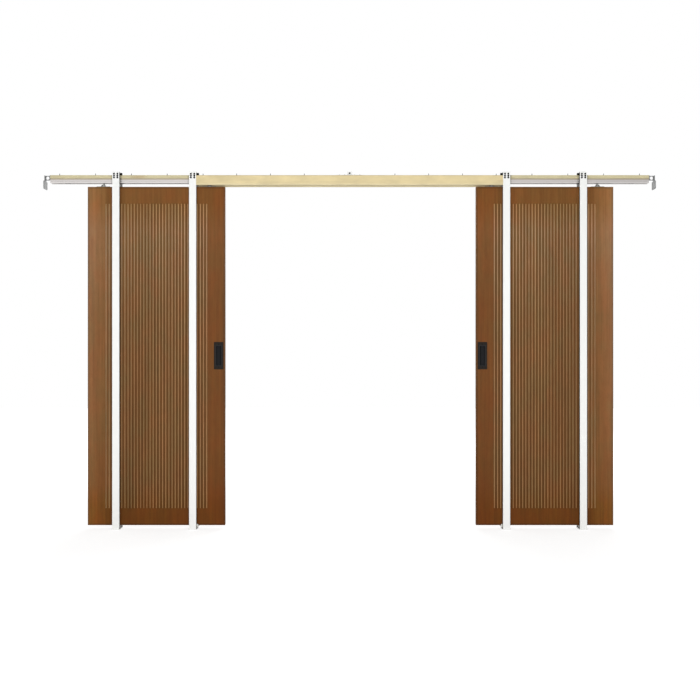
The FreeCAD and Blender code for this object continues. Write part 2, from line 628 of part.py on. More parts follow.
def build_leaf(side, away, lead):
    # away is the sign from the doorway's middle to the leaf, lead the sign of its leading edge.
    x = f"({MIDDLE} {away} {LEAF_OFFSET} + Size.rest_shift)"
    leaf(f"leaf_{side}", x, lead)
    pull_x = f"{x} {lead or '+'} {PULL_OFFSET}"
    flush_pull(f"pull_{side}_front", pull_x, turned=False)
    flush_pull(f"pull_{side}_back", pull_x, turned=True)
    hanger_plates(f"hanger_plates_{side}", x)
    hanger_bolts(f"hanger_bolts_{side}", x)
    carriages(f"carriages_{side}", x)
    wheels(f"wheels_{side}", x)


def check_document():
    for item in doc.Objects:
        if "Invalid" in item.State or "Error" in item.State:
            raise RuntimeError(f"{item.Label} failed: {item.State}")
    bodies = [item for item in doc.Objects if item.TypeId == "PartDesign::Body"]
    for body in bodies:
        if body.Shape.isNull() or not body.Shape.isValid() or not body.Shape.Solids:
            raise RuntimeError(f"{body.Label} has no valid shape")
    return bodies


build_frame()
build_leaf("left", "-", "")
build_leaf("right", "+", "-")
doc.recompute()
os.makedirs("parts", exist_ok=True)
for body in check_document():
    body.Shape.exportStep(f"parts/{body.Label}.step")
    print(body.Label, len(body.Shape.Solids), round(body.Shape.Volume))
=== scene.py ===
import math

import bmesh
import bpy
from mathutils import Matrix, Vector


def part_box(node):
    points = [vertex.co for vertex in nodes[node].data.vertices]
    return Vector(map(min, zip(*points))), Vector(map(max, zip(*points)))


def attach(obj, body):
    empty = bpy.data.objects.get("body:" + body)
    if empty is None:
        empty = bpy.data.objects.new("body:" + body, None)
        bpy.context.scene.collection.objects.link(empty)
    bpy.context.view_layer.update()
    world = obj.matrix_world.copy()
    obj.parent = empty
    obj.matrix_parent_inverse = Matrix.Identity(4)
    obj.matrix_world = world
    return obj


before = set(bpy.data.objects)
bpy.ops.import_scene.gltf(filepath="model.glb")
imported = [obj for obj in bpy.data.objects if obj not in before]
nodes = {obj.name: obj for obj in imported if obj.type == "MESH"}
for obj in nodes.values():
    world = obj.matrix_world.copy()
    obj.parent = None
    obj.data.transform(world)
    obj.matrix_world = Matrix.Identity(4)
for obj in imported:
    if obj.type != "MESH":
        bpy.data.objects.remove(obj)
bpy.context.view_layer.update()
scene = bpy.context.scene

# places that several pieces share, in metres
sides = ("left", "right")
posts = ("jamb", "pocket")
faces = {"front": -1, "back": 1}
fasciaLow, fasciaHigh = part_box("fascia_front")
doorwayMiddle = (fasciaLow.x + fasciaHigh.x) / 2
boardLow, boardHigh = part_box("header_board_left")
trackLow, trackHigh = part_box("track_left")
leafLow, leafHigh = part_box("leaf_right")
leavesMiddle = (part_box("leaf_left")[1].x + leafLow.x) / 2
studLow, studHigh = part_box("jamb_stud_left_front")
postReaches = [doorwayMiddle - (low.x + high.x) / 2
               for low, high in (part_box(f"{post}_stud_left_front") for post in posts)]


# shader maths

class Wire:
    # a socket of a node tree; sums written with it become Math nodes
    def __init__(self, tree, socket=None):
        self.tree = tree
        self.socket = socket

    def node(self, kind, settings=None, sockets=None, out=0):
        made = self.tree.nodes.new(kind)
        for name, value in (settings or {}).items():
            if name == "stops":
                fillRamp(made.color_ramp, value)
            else:
                setattr(made, name, value)
        for name, value in (sockets or {}).items():
            if isinstance(value, Wire):
                self.tree.links.new(value.socket, made.inputs[name])
            else:
                made.inputs[name].default_value = value
        if not made.outputs:
            return None
        if isinstance(out, (tuple, range)):
            return [Wire(self.tree, made.outputs[one]) for one in out]
        return Wire(self.tree, made.outputs[out])

    def maths(self, operation, first, second=0.0):
        return self.node("ShaderNodeMath", {"operation": operation}, {0: first, 1: second})

    def __add__(self, other):
        return self.maths("ADD", self, other)

    def __radd__(self, other):
        return self.maths("ADD", other, self)

    def __sub__(self, other):
        return self.maths("SUBTRACT", self, other)

    def __rsub__(self, other):
        return self.maths("SUBTRACT", other, self)

    def __mul__(self, other):
        return self.maths("MULTIPLY", self, other)

    def __rmul__(self, other):
        return self.maths("MULTIPLY", other, self)

    def __truediv__(self, other):
        return self.maths("DIVIDE", self, other)

    def __gt__(self, other):
        return self.maths("GREATER_THAN", self, other)

    def __lt__(self, other):
        return self.maths("LESS_THAN", self, other)

    def __abs__(self):
        return self.maths("ABSOLUTE", self)


def fillRamp(ramp, stops):
    for number, (place, colour) in enumerate(stops):
        stop = ramp.elements[number] if number < 2 else ramp.elements.new(place)
        stop.position = place
        stop.color = colour


def shade(red, green, blue):
    # a screen colour, 0 to 255, as Blender's linear colour
    linear = []
    for part in (red, green, blue):
        part = part / 255
        linear.append(part / 12.92 if part <= 0.04045 else ((part + 0.055) / 1.055) ** 2.4)
    return (*linear, 1.0)


def newFinish(name):
    material = bpy.data.materials.new(name)
    material.use_nodes = True
    material.node_tree.nodes.clear()
    return material, Wire(material.node_tree)


def surface(pen, sockets):
    shader = pen.node("ShaderNodeBsdfPrincipled", {}, sockets)
    pen.node("ShaderNodeOutputMaterial", {}, {"Surface": shader})


def objectPlace(pen):
    return pen.node("ShaderNodeTexCoord", out="Object")


def apart(pen, place):
    return pen.node("ShaderNodeSeparateXYZ", {}, {0: place}, out=(0, 1, 2))


def stretched(pen, place, size):
    # coordinates in which size, along X, Y and Z, is one unit
    return pen.node("ShaderNodeMapping", {}, {
        "Vector": place, "Scale": [1 / length for length in size]})


def speckle(pen, place, size, detail=3.0, rough=0.55):
    # noise whose features are as long as size along X, Y and Z
    return pen.node("ShaderNodeTexNoise", {}, {
        "Vector": stretched(pen, place, size), "Scale": 1.0,
        "Detail": detail, "Roughness": rough})


def cells(pen, place, size, out):
    # a cell pattern whose cells are as long as size along X, Y and Z
    return pen.node("ShaderNodeTexVoronoi", {}, {
        "Vector": stretched(pen, place, size), "Scale": 1.0}, out=out)


def swing(amount, noise):
    # noise varies about 0.5, and this about 0
    return amount * (noise - 0.5)


def spread(pen, value, low, high, newLow=0.0, newHigh=1.0):
    return pen.node("ShaderNodeMapRange", {"clamp": True}, {
        "Value": value, "From Min": low, "From Max": high, "To Min": newLow, "To Max": newHigh})


def tint(pen, factor, first, second, blend="MIX"):
    # a Mix node's colour sockets share their names with others, so they go by number
    return pen.node("ShaderNodeMix", {"data_type": "RGBA", "blend_type": blend}, {
        0: factor, 6: first, 7: second}, out=2)


def times(pen, colour, other, factor=1.0):
    return tint(pen, factor, colour, other, "MULTIPLY")


def ramp(pen, value, stops):
    return pen.node("ShaderNodeValToRGB", {"stops": stops}, {0: value})


def toneRamp(pen, value, tones):
    return ramp(pen, value, [(share, shade(*tone)) for share, tone in tones])


def dent(pen, height, depth, strength):
    return pen.node("ShaderNodeBump", {}, {
        "Height": height, "Distance": depth, "Strength": strength})


postShade = {"reach": 0.016, "board": 0.42, "track": 0.36}


def besidePosts(pen, x, depth):
    # less light reaches what lies close beside a post
    reach = abs(x - doorwayMiddle)
    near = pen.maths("MINIMUM", *(abs(reach - post) for post in postReaches))
    half = (studHigh.x - studLow.x) / 2
    return spread(pen, near, half, half + postShade["reach"], 1 - depth, 1.0)


# stained veneer of the leaves

veneerLook = {
    # stain across the leaf, from the leading edge (0) to the far edge (1)
    "stain": [(0.08, (121, 75, 37)), (0.2, (121, 78, 41)), (0.84, (119, 79, 43)),
              (0.885, (132, 92, 55)), (0.935, (143, 98, 61)), (0.975, (146, 103, 67))],
    # between the flutes, and in them
    "landTones": [(0.0, (107, 72, 38)), (0.7, (107, 72, 38)), (0.77, (112, 77, 43)),
                  (0.87, (125, 86, 51))],
    "fluteTones": [(0.0, (172, 131, 94)), (0.5, (164, 126, 88)), (0.62, (156, 120, 83)),
                   (0.87, (164, 128, 93))],
    "fluteSkin": 0.0007,              # the tone between flutes reaches this far down into them
    "sideMargin": 0.104,              # leaf edge to the first flute
    "endMargin": 0.101,               # leaf end to the flutes
    # the veneer is darker along its edges
    "band": 0.011, "bandTone": (0.76, 0.82, 0.93, 1.0),
    # painted shade up the leaf: darker and redder towards the foot, lighter near the head
    "heightShade": [(0.0, (0.72, 0.55, 0.23)), (0.06, (0.73, 0.58, 0.28)), (0.12, (0.77, 0.69, 0.54)),
             (0.25, (0.83, 0.79, 0.70)), (0.62, (0.92, 0.92, 0.92)), (0.87, (1.13, 1.23, 1.45)),
             (0.95, (1.07, 1.05, 0.94))],
    "riseTop": 1.5,                   # the ramp holds the height shade divided by this
    # the flutes near the foot take less of that change
    "fluteRise": 0.55, "fluteRiseEnd": (0.15, 0.4), "evenRise": 0.92,
    "hueSize": (0.07, 0.07, 0.16), "hueSpan": (0.36, 0.64),
    "redTone": (1.05, 0.97, 0.93, 1.0), "oliveTone": (0.95, 1.02, 1.0, 1.0),
    "mottleSize": (0.022, 0.022, 0.06), "mottle": 0.22,
    "driftSize": (0.07, 0.07, 1.1), "drift": 0.30,
    "streakSize": (0.012, 0.012, 0.6), "streak": 0.75,
    "fibreSize": (0.0022, 0.0022, 0.11), "fibre": 0.20,
    "poreSize": (0.0009, 0.0009, 0.016), "pore": 0.30, "poreSpan": (0.62, 0.8),
    "rough": 0.55, "streakRough": 0.14, "poreRough": 0.2,
    "gloss": 0.08,
    "poreDepth": 0.00025, "streakDent": 0.4, "dentStrength": 0.6,
}


def stainedVeneer():
    look = veneerLook
    material, pen = newFinish("stainedVeneer")
    place = objectPlace(pen)
    x, y, z = apart(pen, place)
    reach = abs(x - leavesMiddle)
    lead = leafLow.x - leavesMiddle
    trail = leafHigh.x - leavesMiddle
    across = (reach - lead) / (trail - lead)
    inside = (leafHigh.y - look["fluteSkin"]) > abs(y)
    inRow = (reach > lead + look["sideMargin"]) * (reach < trail - look["sideMargin"])
    inHeight = (z > leafLow.z + look["endMargin"]) * (z < leafHigh.z - look["endMargin"])
    panel = inRow * inHeight
    flute = panel * inside
    nearSide = pen.maths("MINIMUM", reach - lead, trail - reach)
    nearEnd = pen.maths("MINIMUM", z - leafLow.z, leafHigh.z - z)
    band = pen.maths("MINIMUM", nearSide, nearEnd) < look["band"]
    stain = toneRamp(pen, across, look["stain"])
    colour = tint(pen, panel, stain, toneRamp(pen, across, look["landTones"]))
    colour = tint(pen, flute, colour, toneRamp(pen, across, look["fluteTones"]))
    drift = speckle(pen, place, look["driftSize"])
    streak = speckle(pen, place, look["streakSize"], detail=5.0, rough=0.6)
    fibre = speckle(pen, place, look["fibreSize"])
    pore = spread(pen, speckle(pen, place, look["poreSize"], detail=1.0), *look["poreSpan"])
    mottle = speckle(pen, place, look["mottleSize"], detail=4.0)
    hue = spread(pen, speckle(pen, place, look["hueSize"], detail=2.0), *look["hueSpan"])
    tone = 1 + swing(look["drift"], drift) + swing(look["streak"], streak)
    tone = tone + swing(look["mottle"], mottle) + swing(look["fibre"], fibre)
    tone = tone * (1 - look["pore"] * pore)
    # painted shade up the leaf, darker and redder towards the foot; the flutes take less of it
    height = spread(pen, z, leafLow.z, leafHigh.z)
    heightShade = ramp(pen, height, [(share, (*(part / look["riseTop"] for part in glow), 1.0))
                              for share, glow in look["heightShade"]])
    even = look["evenRise"] / look["riseTop"]
    kept = flute * spread(pen, height, *look["fluteRiseEnd"], look["fluteRise"], 0.0)
    heightShade = tint(pen, kept, heightShade, (even, even, even, 1.0))
    colour = times(pen, colour, heightShade)
    colour = times(pen, colour, tint(pen, hue, look["redTone"], look["oliveTone"]))
    colour = times(pen, colour, tone * look["riseTop"])
    colour = times(pen, colour, look["bandTone"], band)
    grain = streak * look["streakDent"] - pore
    surface(pen, {
        "Base Color": colour,
        "Roughness": look["rough"] + swing(look["streakRough"], streak) + look["poreRough"] * pore,
        "Specular IOR Level": look["gloss"],
        "Normal": dent(pen, grain, look["poreDepth"], look["dentStrength"])})
    return material


# pine of the header boards and the fascias

pineLook = {
    "driftSize": (0.12, 0.06, 0.06), "drift": 0.45,
    "lineSize": (0.5, 0.0035, 0.0035), "line": 0.12,
    "ringGap": 0.0062, "ring": 0.11,  # between growth rings, and how dark they are
    "ringLean": (0.55, 0.83),         # the way across the rings, along Y and Z
    "ringWander": 0.021,
    "wanderSize": (0.45, 0.12, 0.12),
    "knotSize": (0.36, 0.11, 0.075),  # one knot, at most, in each such cell
    "knotReach": 0.16, "knotCore": 0.45,
    "knotTone": (158, 110, 64), "knot": 0.3,
    "edgeShade": 0.22, "edgeHeight": 0.004,    # painted shade along the joint with the track
    "rough": 0.58, "lineRough": 0.12, "knotRough": 0.1,
    "gloss": 0.35,
    "lineDepth": 0.0002, "ringDent": 0.4, "dentStrength": 0.5,
}

# painted light on the fascias: a painted highlight along the lower edge of the front face, and
# painted shade below and on the inner faces
fasciaPaintedLight = {
    "highlightBand": 0.006, "highlightTone": (1.10, 1.16, 1.28, 1.0),
    "shadedSkin": 0.0005, "shadedSkinTone": (0.90, 0.93, 1.02, 1.0),
}


def pine(name, tone, shadedBelow=0.0, paintedLight=None):
    look = pineLook
    material, pen = newFinish(name)
    place = objectPlace(pen)
    x, y, z = apart(pen, place)
    wander = speckle(pen, place, look["wanderSize"], detail=2.0)
    drift = speckle(pen, place, look["driftSize"], detail=2.0)
    line = speckle(pen, place, look["lineSize"], detail=4.0)
    leanY, leanZ = look["ringLean"]
    depth = y * leanY + z * leanZ + look["ringWander"] * wander
    ring = spread(pen, pen.maths("SINE", depth * (2 * math.pi / look["ringGap"])), -1.0, 1.0)
    knotPlace = cells(pen, place, look["knotSize"], "Distance")
    knot = spread(pen, knotPlace, look["knotReach"], look["knotReach"] * look["knotCore"])
    value = 1 - look["ring"] * (ring * ring)
    value = value + swing(look["line"], line) + swing(look["drift"], drift)
    # painted shade along the joint with the track, and beside the posts
    if shadedBelow:
        value = value * (1 - look["edgeShade"] * (z < shadedBelow))
        value = value * besidePosts(pen, x, postShade["board"])
    colour = times(pen, shade(*tone), value)
    colour = tint(pen, knot * look["knot"], colour, shade(*look["knotTone"]))
    # a painted highlight along the lower edge, and painted shade below and inside
    if paintedLight:
        below = z < fasciaLow.z + paintedLight["shadedSkin"]
        within = abs(y) < abs(fasciaHigh.y) + paintedLight["shadedSkin"]
        shadedSkin = pen.maths("MAXIMUM", below, within)
        highlightBand = (z < fasciaLow.z + paintedLight["highlightBand"]) * (1 - shadedSkin)
        colour = times(pen, colour, paintedLight["highlightTone"], highlightBand)
        colour = times(pen, colour, paintedLight["shadedSkinTone"], shadedSkin)
    grain = line + ring * look["ringDent"]
    surface(pen, {
        "Base Color": colour,
        "Roughness": look["rough"] + swing(look["lineRough"], line) - look["knotRough"] * knot,
        "Specular IOR Level": look["gloss"],
        "Normal": dent(pen, grain, look["lineDepth"], look["dentStrength"])})
    return material


# extruded aluminium of the tracks

aluminiumLook = {
    "tone": (185, 181, 179),
    "grooveTone": 0.88,                   # less light reaches the groove
    "browShadeAndReflection": (232, 222, 206), "brow": 0.0065,    # painted reflection of the board and painted shade along the top
    "lip": 0.0065,                        # height of the side below the groove
    "dieSize": (1.6, 0.0011, 0.0011), "die": 0.10,  # lines left by the die
    "cloudSize": (0.35, 0.03, 0.03), "cloud": 0.08,
    "metallic": 0.85,
    "rough": 0.48, "dieRough": 0.16,
    "dieDepth": 0.00006, "dentStrength": 0.5,
}


def extrudedAluminium():
    look = aluminiumLook
    material, pen = newFinish("extrudedAluminium")
    place = objectPlace(pen)
    die = speckle(pen, place, look["dieSize"])
    cloud = speckle(pen, place, look["cloudSize"], detail=2.0)
    x, _, z = apart(pen, place)
    groove = z > trackLow.z + look["lip"]
    brow = z > trackHigh.z - look["brow"]
    value = 1 + swing(look["die"], die) + swing(look["cloud"], cloud)
    value = value * (1 - (1 - look["grooveTone"]) * groove)
    value = value * besidePosts(pen, x, postShade["track"])
    # painted reflection of the board and painted shade along the top of the track
    colour = times(pen, shade(*look["tone"]), shade(*look["browShadeAndReflection"]), brow)
    surface(pen, {
        "Base Color": times(pen, colour, value),
        "Metallic": look["metallic"],
        "Roughness": look["rough"] + swing(look["dieRough"], die),
        "Normal": dent(pen, die, look["dieDepth"], look["dentStrength"])})
    return material


# steel finishes

studLook = {
    "faceTone": (247, 248, 246),
    "flangeShadeTone": (52, 52, 50),       # steel behind the white face, darkened with painted shade
    "faceDepth": 0.002,
    "flangeMetal": 0.3,
    "peelSize": (0.004, 0.004, 0.004), "flangePeel": 0.3,
    "scuffSize": (0.05, 0.05, 0.3), "scuff": 0.05,
    "rough": 0.46, "scuffRough": 0.1,
    "peelDepth": 0.00004, "dentStrength": 0.4,
}


def whiteStud():
    # a white coat on the outer face, and steel on the flanges darkened with painted shade
    look = studLook
    material, pen = newFinish("whiteStud")
    place = objectPlace(pen)
    _, y, _ = apart(pen, place)
    face = abs(y) > abs(studLow.y) - look["faceDepth"]
    peel = speckle(pen, place, look["peelSize"], detail=2.0)
    scuff = speckle(pen, place, look["scuffSize"])
    colour = tint(pen, face, shade(*look["flangeShadeTone"]), shade(*look["faceTone"]))
    value = 1 + swing(look["scuff"], scuff) + (1 - face) * swing(look["flangePeel"], peel)
    surface(pen, {
        "Base Color": times(pen, colour, value),
        "Metallic": (1 - face) * look["flangeMetal"],
        "Roughness": look["rough"] + swing(look["scuffRough"], scuff),
        "Normal": dent(pen, peel, look["peelDepth"], look["dentStrength"])})
    return material


plateLook = {
    "spangleSize": (0.009, 0.009, 0.009), "spangleRough": 0.6,
    "wearSize": (0.03, 0.03, 0.03), "wear": 0.12, "wearRough": 0.18,
    "grainSize": (0.0016, 0.0016, 0.0016), "grainDepth": 0.00003, "dentStrength": 0.5,
}


def coatedSteel(name, tone, metallic, rough, spangle=0.0, gloss=0.5):
    # zinc, white paint or a black coat on sheet steel; spangle is how much the crystals differ
    look = plateLook
    material, pen = newFinish(name)
    place = objectPlace(pen)
    wear = speckle(pen, place, look["wearSize"], detail=4.0)
    fine = speckle(pen, place, look["grainSize"], detail=2.0)
    crystal = cells(pen, place, look["spangleSize"], "Color")
    flake = pen.node("ShaderNodeSeparateColor", {}, {0: crystal})
    value = 1 + swing(look["wear"], wear) + swing(spangle, flake)
    dulled = swing(look["wearRough"], wear) + swing(look["spangleRough"] * spangle, flake)
    surface(pen, {
        "Base Color": times(pen, shade(*tone), value),
        "Metallic": metallic,
        "Roughness": rough + dulled,
        "Specular IOR Level": gloss,
        "Normal": dent(pen, fine, look["grainDepth"], look["dentStrength"])})
    return material


pullLook = {
    # a painted highlight on the lip, painted shade in the cup and at its leading wall
    "frameTone": (37, 32, 28), "lipHighlightTone": (45, 44, 46),
    "cupShadeTone": (27, 27, 29), "leadShadeTone": (5, 5, 5),
    "halfWidth": 0.016, "halfHeight": 0.059,    # the finger recess
    "cupEdge": 0.0003, "lip": 0.004, "leadWall": 0.008,
    "grainSize": (0.0016, 0.0016, 0.0016), "grain": 0.3,
    "rough": 0.5, "grainRough": 0.2,
    "gloss": 0.06,
    "grainDepth": 0.00005, "dentStrength": 0.5,
}


def blackPull():
    # a black coat; a painted highlight round the recess, painted shade in it, darkest at its wall by
    # the leaf's leading edge
    look = pullLook
    material, pen = newFinish("blackPull")
    place = objectPlace(pen)
    x, _, z = apart(pen, place)
    low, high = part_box("pull_right_front")
    across = abs(x - leavesMiddle) - ((low.x + high.x) / 2 - leavesMiddle)
    upright = abs(z - (low.z + high.z) / 2)
    beyond = pen.maths("MAXIMUM", abs(across) - look["halfWidth"], upright - look["halfHeight"])
    cup = beyond < look["cupEdge"]
    lead = cup * (across < look["leadWall"] - look["halfWidth"])
    # painted highlight on the lip round the recess, painted shade in the recess and at its leading
    # wall
    colour = tint(pen, beyond < look["lip"], shade(*look["frameTone"]), shade(*look["lipHighlightTone"]))
    colour = tint(pen, cup, colour, shade(*look["cupShadeTone"]))
    colour = tint(pen, lead, colour, shade(*look["leadShadeTone"]))
    grain = speckle(pen, place, look["grainSize"], detail=2.0)
    surface(pen, {
        "Base Color": times(pen, colour, 1 + swing(look["grain"], grain)),
        "Roughness": look["rough"] + swing(look["grainRough"], grain),
        "Specular IOR Level": look["gloss"],
        "Normal": dent(pen, grain, look["grainDepth"], look["dentStrength"])})
    return material


plasticLook = {
    "cloudSize": (0.02, 0.02, 0.02), "cloud": 0.1, "cloudRough": 0.1,
    "gritSize": (0.0009, 0.0009, 0.0009), "gritDepth": 0.00004, "dentStrength": 0.4,
}


def mouldedPlastic(name, tone, rough):
    look = plasticLook
    material, pen = newFinish(name)
    place = objectPlace(pen)
    cloud = speckle(pen, place, look["cloudSize"], detail=2.0)
    grit = speckle(pen, place, look["gritSize"], detail=1.0)
    surface(pen, {
        "Base Color": times(pen, shade(*tone), 1 + swing(look["cloud"], cloud)),
        "Roughness": rough + swing(look["cloudRough"], cloud),
        "Normal": dent(pen, grit, look["gritDepth"], look["dentStrength"])})
    return material


veneer = stainedVeneer()
fasciaPine = pine("fasciaPine", (229, 211, 163), paintedLight=fasciaPaintedLight)
boardPine = pine("boardPine", (213, 202, 162), shadedBelow=boardLow.z + pineLook["edgeHeight"])
aluminium = extrudedAluminium()
studSteel = whiteStud()
whitePlate = coatedSteel("whitePlate", (238, 239, 237), metallic=0.0, rough=0.45)
zincPlate = coatedSteel("zincPlate", (134, 135, 135), metallic=0.4, rough=0.6, spangle=0.02)
brightZinc = coatedSteel("brightZinc", (160, 161, 158), metallic=0.8, rough=0.34, spangle=0.05)
hangerSteel = coatedSteel("hangerSteel", (122, 121, 116), metallic=0.5, rough=0.5,
                          spangle=0.05, gloss=0.2)
blackSaddle = coatedSteel("blackSaddle", (16, 16, 16), metallic=0.0, rough=0.5, gloss=0.2)
pullBlack = blackPull()
screwBlack = coatedSteel("screwBlack", (9, 9, 9), metallic=0.0, rough=0.5, gloss=0.05)
guideNylon = mouldedPlastic("guideNylon", (222, 220, 212), rough=0.5)
stopRubber = mouldedPlastic("stopRubber", (44, 44, 45), rough=0.7)

finishes = {
    "header_board": boardPine, "fascia": fasciaPine, "track_stop": stopRubber, "track": aluminium,
    "header_joint_plate": whitePlate, "end_bracket": zincPlate, "jamb_stud": studSteel,
    "pocket_stud": studSteel, "jamb_saddle": blackSaddle, "pocket_saddle": blackSaddle,
    "jamb_floor_plate": whitePlate, "pocket_floor_plate": whitePlate, "door_guide": guideNylon,
    "leaf": veneer, "pull": pullBlack, "hanger_plates": hangerSteel, "hanger_bolts": brightZinc,
    "carriages": brightZinc, "wheels": guideNylon,
}
for name, node in nodes.items():
    start = max((key for key in finishes if name.startswith(key)), key=len)
    node.data.materials.clear()
    node.data.materials.append(finishes[start])
print("finishes:", len(bpy.data.materials))


# turned shapes for the screws, one unit across the head

def turnRings(shape, profile, count):
    rings = []
    for radius, height in profile:
        ring = []
        for number in range(count):
            angle = 2 * math.pi * number / count
            ring.append(shape.verts.new((radius * math.cos(angle), radius * math.sin(angle), height)))
        rings.append(ring)
    for lower, upper in zip(rings, rings[1:]):
        for number in range(count):
            after = (number + 1) % count
            skin = shape.faces.new((lower[number], lower[after], upper[after], upper[number]))
            skin.smooth = True
    shape.faces.new(reversed(rings[0]))
    return rings


def pattern(name, shape):
    bmesh.ops.recalc_face_normals(shape, faces=shape.faces)
    mesh = bpy.data.meshes.new(name)
    shape.to_mesh(mesh)
    shape.free()
    made = bpy.data.objects.new(name, mesh)
    scene.collection.objects.link(made)
    return made


def crossHead(name, look):
    # a turned head with a cross recess in its flat top
    shape = bmesh.new()
    rings = turnRings(shape, look["profile"], look["sides"])
    top = look["profile"][-1][1]
    arm, half = look["crossArm"], look["crossWidth"] / 2
    outline = []
    for quarter in range(4):
        turn = quarter * math.pi / 2
        for across, along in ((arm, -half), (arm, half), (half, half)):
            outline.append((across * math.cos(turn) - along * math.sin(turn),
                            across * math.sin(turn) + along * math.cos(turn)))
    rim = [shape.verts.new((across, along, top)) for across, along in outline]
    taper = look["crossTaper"]
    depth = top - look["crossDepth"]
    floor = [shape.verts.new((across * taper, along * taper, depth)) for across, along in outline]
    count = len(rim)
    for number in range(count):
        after = (number + 1) % count
        shape.faces.new((rim[number], rim[after], floor[after], floor[number]))
    shape.faces.new(floor)
    edges = [shape.edges.get((ring[number], ring[(number + 1) % len(ring)]))
             for ring in (rings[-1], rim) for number in range(len(ring))]
    bmesh.ops.triangle_fill(shape, use_beauty=True, edges=edges)
    return pattern(name, shape)


def threadedTip(name, look):
    # the pointed end of a screw, with its thread
    shape = bmesh.new()
    profile = []
    for turn in range(look["turns"] * 2):
        share = turn / (look["turns"] * 2)
        core = look["core"] * (1 - share ** look["taper"])
        crest = look["crest"] * (1 - share) if turn % 2 else 0.0
        profile.append((core + crest, share * look["height"]))
    rings = turnRings(shape, profile, look["sides"])
    tip = shape.verts.new((0, 0, look["height"]))
    last = rings[-1]
    for number in range(len(last)):
        shape.faces.new((last[number], last[(number + 1) % len(last)], tip))
    return pattern(name, shape)


# screws set on points by a node tree

def newTree(name, inputs):
    tree = bpy.data.node_groups.new(name, "GeometryNodeTree")
    for label, kind in inputs.items():
        tree.interface.new_socket(label, in_out="INPUT", socket_type=kind)
    tree.interface.new_socket("Grown", in_out="OUTPUT", socket_type="NodeSocketGeometry")
    pen = Wire(tree)
    return tree, pen, pen.node("NodeGroupInput", out=range(len(inputs)))


def endTree(pen, placed, finish):
    whole = pen.node("GeometryNodeRealizeInstances", {}, {"Geometry": placed})
    painted = pen.node("GeometryNodeSetMaterial", {}, {"Geometry": whole, "Material": finish})
    pen.node("NodeGroupOutput", {}, {"Grown": painted})


def makeScrewTree():
    tree, pen, (points, screw, size, seed, finish) = newTree("screwsOnPoints", {
        "Points": "NodeSocketGeometry", "Screw": "NodeSocketObject",
        "Head Diameter": "NodeSocketFloat", "Turn Seed": "NodeSocketInt",
        "Finish": "NodeSocketMaterial"})
    facing = pen.node("GeometryNodeInputNamedAttribute", {"data_type": "FLOAT_VECTOR"}, {
        "Name": "facing"})
    stood = pen.node("FunctionNodeAlignRotationToVector", {"axis": "Z"}, {"Vector": facing})
    # inputs 2 and 3 are the least and the greatest number, and output 1 is the number drawn
    angle = pen.node("FunctionNodeRandomValue", {"data_type": "FLOAT"}, {
        2: 0.0, 3: math.pi, "Seed": seed}, out=1)
    turn = pen.node("FunctionNodeAxisAngleToRotation", {}, {"Axis": (0, 0, 1), "Angle": angle})
    turned = pen.node("FunctionNodeRotateRotation", {"rotation_space": "LOCAL"}, {
        "Rotation": stood, "Rotate By": turn})
    shape = pen.node("GeometryNodeObjectInfo", {}, {"Object": screw}, out="Geometry")
    placed = pen.node("GeometryNodeInstanceOnPoints", {}, {
        "Points": points, "Instance": shape, "Rotation": turned, "Scale": size})
    endTree(pen, placed, finish)
    return tree


threadLook = {"steps": 14, "ridgeSides": 4}    # steps are those of one turn


def makeThreadTree():
    tree, pen, (points, radius, pitch, turns, ridge, finish) = newTree("threadOnPoints", {
        "Points": "NodeSocketGeometry", "Radius": "NodeSocketFloat", "Pitch": "NodeSocketFloat",
        "Turns": "NodeSocketFloat", "Ridge": "NodeSocketFloat", "Finish": "NodeSocketMaterial"})
    line = pen.node("GeometryNodeCurveSpiral", {}, {
        "Resolution": threadLook["steps"], "Rotations": turns,
        "Start Radius": radius, "End Radius": radius, "Height": pitch * turns})
    ring = pen.node("GeometryNodeCurvePrimitiveCircle", {}, {
        "Resolution": threadLook["ridgeSides"], "Radius": ridge})
    thread = pen.node("GeometryNodeCurveToMesh", {}, {
        "Curve": line, "Profile Curve": ring, "Fill Caps": True})
    placed = pen.node("GeometryNodeInstanceOnPoints", {}, {"Points": points, "Instance": thread})
    endTree(pen, placed, finish)
    return tree


def growPiece(name, places, tree, values, body):
    # places holds a point and the way that it faces, for each copy
    mesh = bpy.data.meshes.new(name)
    mesh.from_pydata([place for place, _ in places], [], [])
    ways = mesh.attributes.new("facing", "FLOAT_VECTOR", "POINT")
    for number, (_, facing) in enumerate(places):
        ways.data[number].vector = facing
    piece = bpy.data.objects.new(name, mesh)
    scene.collection.objects.link(piece)
    grow = piece.modifiers.new("grow", "NODES")
    grow.node_group = tree
    for item in tree.interface.items_tree:
        if item.in_out == "INPUT" and item.name in values:
            grow[item.identifier] = values[item.name]
    evaluated = piece.evaluated_get(bpy.context.evaluated_depsgraph_get())
    grown = bpy.data.meshes.new_from_object(evaluated)
    piece.modifiers.remove(grow)
    piece.data = grown
    piece.data.name = name
    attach(piece, body)
    print(name, "on", len(places), "points:", len(grown.polygons), "faces")


waferLook = {
    "sides": 24,
    "profile": [(0.5, -0.02), (0.5, 0.07), (0.44, 0.16), (0.3, 0.22)],
    "crossArm": 0.21, "crossWidth": 0.09, "crossDepth": 0.13, "crossTaper": 0.7,
}
flatLook = {
    "sides": 20,
    "profile": [(0.47, -0.05), (0.5, 0.0), (0.47, 0.03)],
    "crossArm": 0.27, "crossWidth": 0.11, "crossDepth": 0.06, "crossTaper": 0.75,
}
clampLook = {
    "sides": 24,
    "profile": [(0.5, -0.02), (0.5, 0.12), (0.43, 0.16), (0.43, 0.86), (0.34, 0.98)],
    "crossArm": 0.24, "crossWidth": 0.1, "crossDepth": 0.2, "crossTaper": 0.75,
}
tipLook = {"sides": 12, "turns": 6, "core": 0.36, "crest": 0.14, "height": 2.9, "taper": 2.6}

